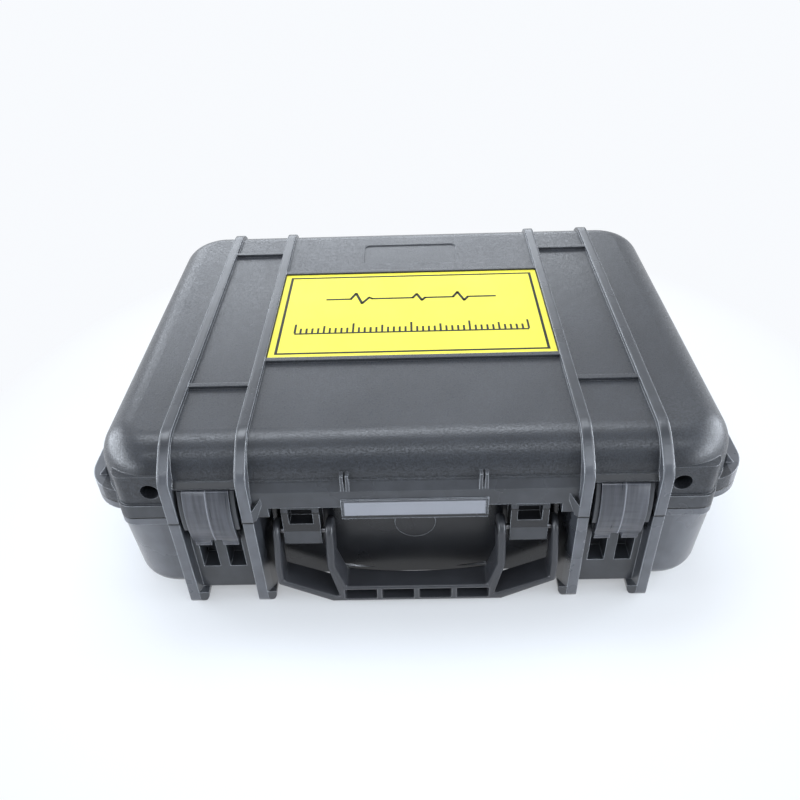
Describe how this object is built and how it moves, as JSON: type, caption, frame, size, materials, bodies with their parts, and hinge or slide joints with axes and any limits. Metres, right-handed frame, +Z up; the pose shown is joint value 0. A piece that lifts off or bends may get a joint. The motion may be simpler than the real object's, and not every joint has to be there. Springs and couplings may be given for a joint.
{
  "type": "cased ultrasonic flaw detector",
  "caption": "Rugged black carrying case with a yellow top plate, latches and folding handle, holding a portable flaw detector and two probes in foam.",
  "frame": {"origin": "on the floor under the middle of the case's bounding box", "axes": "+X to the right seen from the latches, across the case's longest extent; -Y towards the handle and latches; +Z up"},
  "size_m": [0.441, 0.344, 0.138],
  "materials": {
    "case_black": "moulded sand texture",
    "latch_black": "smooth satin moulding",
    "strip_grey": "satin film",
    "plate_yellow": "satin two-layer plate",
    "foam": "fine open-cell foam",
    "seal_rubber": "matt",
    "bumper_rubber": "matt",
    "mat_rubber": "matt",
    "knob_rubber": "soft-touch",
    "pin_steel": "plain",
    "socket_metal": "nickel-plated",
    "probe_metal": "ground",
    "plug_brass": "turned",
    "housing_grey": "fine texture",
    "housing_front": "fine texture",
    "window": "clear",
    "screen": "glossy, dark",
    "board": "solder mask",
    "battery": "shrink sleeve",
    "key_red": "satin",
    "key_grey": "satin",
    "probe_face": "ceramic look",
    "wedge_plastic": "cast acrylic look",
    "probe_black": "satin"
  },
  "bodies": {
    "base": {"base_shell": "case_black", "hinge_pins": "pin_steel", "latch_pins": "pin_steel", "handle_pins": "pin_steel", "base_foam": "foam", "instrument_back": "housing_grey", "instrument_front": "housing_front", "instrument_seal": "seal_rubber", "instrument_bumpers": "bumper_rubber", "screen_window": "window", "lcd_module": "screen", "main_board": "board", "board_screws": "pin_steel", "battery_pack": "battery", "battery_door": "housing_grey", "battery_door_screws": "pin_steel", "housing_screws": "pin_steel", "probe_sockets": "socket_metal", "key_mat": "mat_rubber", "knob_encoder": "socket_metal", "straight_probe_body": "probe_metal", "straight_probe_face": "probe_face", "straight_probe_socket": "plug_brass", "angle_probe_wedge": "wedge_plastic", "angle_probe_body": "probe_black", "angle_probe_socket": "plug_brass"},
    "lid": {"lid_shell": "case_black", "lid_seal": "seal_rubber", "name_strip": "strip_grey", "yellow_plate": "plate_yellow", "lid_foam": "foam"},
    "handle": {"handle": "latch_black"},
    "latch_left": {"latch_lever_left": "latch_black", "latch_claw_pin_left": "pin_steel"},
    "latch_right": {"latch_lever_right": "latch_black", "latch_claw_pin_right": "pin_steel"},
    "claw_left": {"latch_claw_left": "latch_black"},
    "claw_right": {"latch_claw_right": "latch_black"},
    "knob": {"rotary_knob": "knob_rubber", "knob_shaft": "pin_steel"},
    "key_power": {"key_power": "key_red"},
    "key_menu": {"key_menu": "key_grey"},
    "key_gain": {"key_gain": "key_grey"},
    "key_range": {"key_range": "key_grey"},
    "key_gate": {"key_gate": "key_grey"},
    "key_freeze": {"key_freeze": "key_grey"}
  },
  "joints": [
    {"name": "lid_hinge", "type": "hinge", "parent": "base", "child": "lid", "pos_m": [0, 0.166, 0.082], "axis": [-1, 0, 0], "range_deg": [0, 100]},
    {"name": "handle_hinge", "type": "hinge", "parent": "base", "child": "handle", "pos_m": [0, -0.1556, 0.062], "axis": [-1, 0, 0], "range_deg": [0, 95]},
    {"name": "latch_left_swing", "type": "hinge", "parent": "base", "child": "latch_left", "pos_m": [-0.13275, -0.1545, 0.06], "axis": [1, 0, 0], "range_deg": [0, 80]},
    {"name": "claw_left_swing", "type": "hinge", "parent": "latch_left", "child": "claw_left", "pos_m": [-0.13275, -0.162, 0.08], "axis": [1, 0, 0], "range_deg": [0, 8]},
    {"name": "latch_right_swing", "type": "hinge", "parent": "base", "child": "latch_right", "pos_m": [0.13275, -0.1545, 0.06], "axis": [1, 0, 0], "range_deg": [0, 80]},
    {"name": "claw_right_swing", "type": "hinge", "parent": "latch_right", "child": "claw_right", "pos_m": [0.13275, -0.162, 0.08], "axis": [1, 0, 0], "range_deg": [0, 8]},
    {"name": "knob_turn", "type": "hinge", "parent": "base", "child": "knob", "pos_m": [0.0205, 0.003, 0.07], "axis": [0, 0, 1], "continuous": true},
    {"name": "key_power_press", "type": "slide", "parent": "base", "child": "key_power", "axis": [0, 0, -1], "range_m": [0, 0.001], "stiffness_N_per_m": 600, "springref_m": -0.0006},
    {"name": "key_menu_press", "type": "slide", "parent": "base", "child": "key_menu", "axis": [0, 0, -1], "range_m": [0, 0.001], "stiffness_N_per_m": 600, "springref_m": -0.0006},
    {"name": "key_gain_press", "type": "slide", "parent": "base", "child": "key_gain", "axis": [0, 0, -1], "range_m": [0, 0.001], "stiffness_N_per_m": 600, "springref_m": -0.0006},
    {"name": "key_range_press", "type": "slide", "parent": "base", "child": "key_range", "axis": [0, 0, -1], "range_m": [0, 0.001], "stiffness_N_per_m": 600, "springref_m": -0.0006},
    {"name": "key_gate_press", "type": "slide", "parent": "base", "child": "key_gate", "axis": [0, 0, -1], "range_m": [0, 0.001], "stiffness_N_per_m": 600, "springref_m": -0.0006},
    {"name": "key_freeze_press", "type": "slide", "parent": "base", "child": "key_freeze", "axis": [0, 0, -1], "range_m": [0, 0.001], "stiffness_N_per_m": 600, "springref_m": -0.0006}
  ]
}
